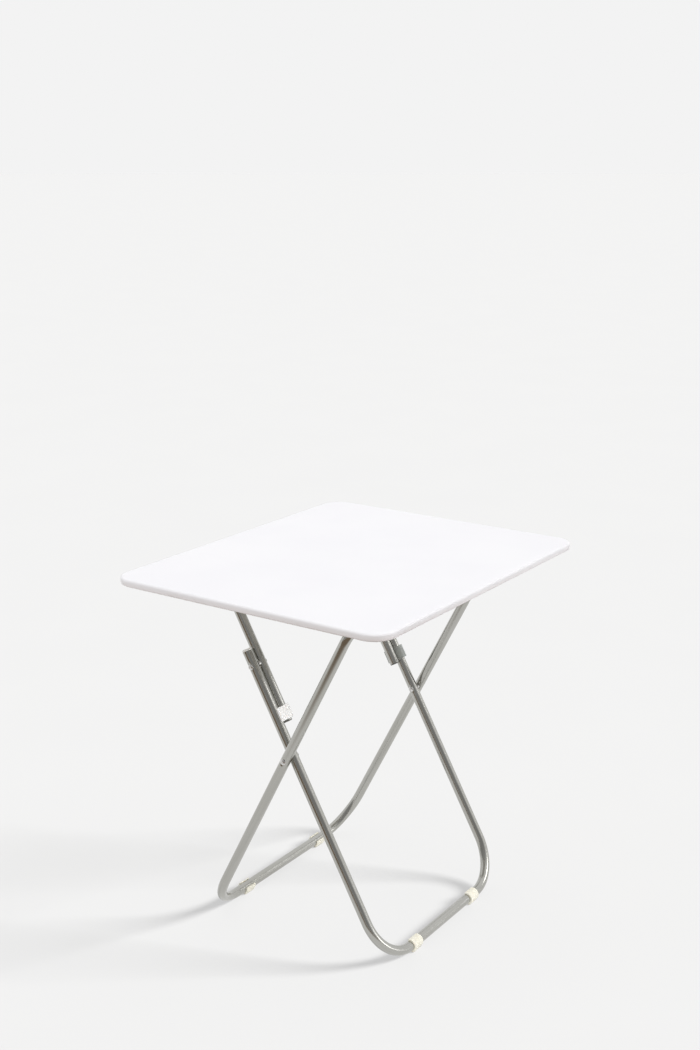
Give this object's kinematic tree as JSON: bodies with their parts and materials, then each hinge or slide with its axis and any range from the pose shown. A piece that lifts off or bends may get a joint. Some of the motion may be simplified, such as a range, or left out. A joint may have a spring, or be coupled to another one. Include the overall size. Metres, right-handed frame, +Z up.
{
  "type": "folding table",
  "caption": "Small rectangular folding side table with a thin white top on two crossed silver tube leg frames, locked open by a hinged support arm.",
  "frame": {"origin": "on the floor under the middle of the top", "axes": "+X across the spread of the legs, +Y along the pivot axes, +Z up"},
  "size_m": [0.5, 0.6, 0.6],
  "materials": {
    "board": "raw fibreboard",
    "white_foil": "satin foil",
    "backing": "matt paper film",
    "bracket_plastic": "moulded",
    "screw_steel": "zinc plated",
    "silver_tube": "satin silver lacquer",
    "sleeve_steel": "plain steel",
    "rivet_steel": "bright zinc",
    "lock_plastic": "moulded",
    "foot_plastic": "moulded",
    "cap_plastic": "moulded",
    "plug_plastic": "moulded"
  },
  "bodies": {
    "tabletop": {"top_core": "board", "top_foil": "white_foil", "underside_sheet": "backing", "outer_leg_bracket_near": "bracket_plastic", "outer_leg_bracket_far": "bracket_plastic", "arm_bracket_near": "bracket_plastic", "arm_bracket_far": "bracket_plastic", "bracket_screws": "screw_steel"},
    "outer_leg": {"outer_leg_frame": "silver_tube", "outer_leg_sleeve": "sleeve_steel", "cross_rivet_outer_near": "rivet_steel", "cross_rivet_outer_far": "rivet_steel", "cross_spacer_near": "rivet_steel", "cross_spacer_far": "rivet_steel", "outer_foot_clip_near": "foot_plastic", "outer_foot_clip_far": "foot_plastic"},
    "support_arm": {"arm_frame": "silver_tube", "knee_rivet_near": "rivet_steel", "knee_rivet_far": "rivet_steel", "knee_spacer_near": "rivet_steel", "knee_spacer_far": "rivet_steel", "arm_plug_near": "plug_plastic", "arm_plug_far": "plug_plastic", "lock_clip_near": "lock_plastic"},
    "inner_leg": {"inner_leg_frame": "silver_tube", "cross_rivet_inner_near": "rivet_steel", "cross_rivet_inner_far": "rivet_steel", "inner_leg_cap_near": "cap_plastic", "inner_leg_cap_far": "cap_plastic", "inner_foot_clip_near": "foot_plastic", "inner_foot_clip_far": "foot_plastic", "lock_clip_far": "lock_plastic"}
  },
  "joints": [
    {"name": "arm_swing", "type": "hinge", "parent": "tabletop", "child": "support_arm", "pos_m": [-0.1401, 0, 0.578], "axis": [0, 1, 0], "range_deg": [-57, 0]},
    {"name": "knee_fold", "type": "hinge", "parent": "support_arm", "child": "inner_leg", "pos_m": [-0.07019, 0, 0.45379], "axis": [0, 1, 0], "range_deg": [0, 165.28]},
    {"name": "outer_leg_swing", "type": "hinge", "parent": "tabletop", "child": "outer_leg", "pos_m": [0.1394, 0, 0.578], "axis": [0, 1, 0], "range_deg": [0, 55.1]}
  ],
  "couplings": [
    {"joint": "arm_swing", "follows": "knee_fold", "ratio": -0.34473},
    {"joint": "outer_leg_swing", "follows": "knee_fold", "ratio": 0.33276}
  ]
}
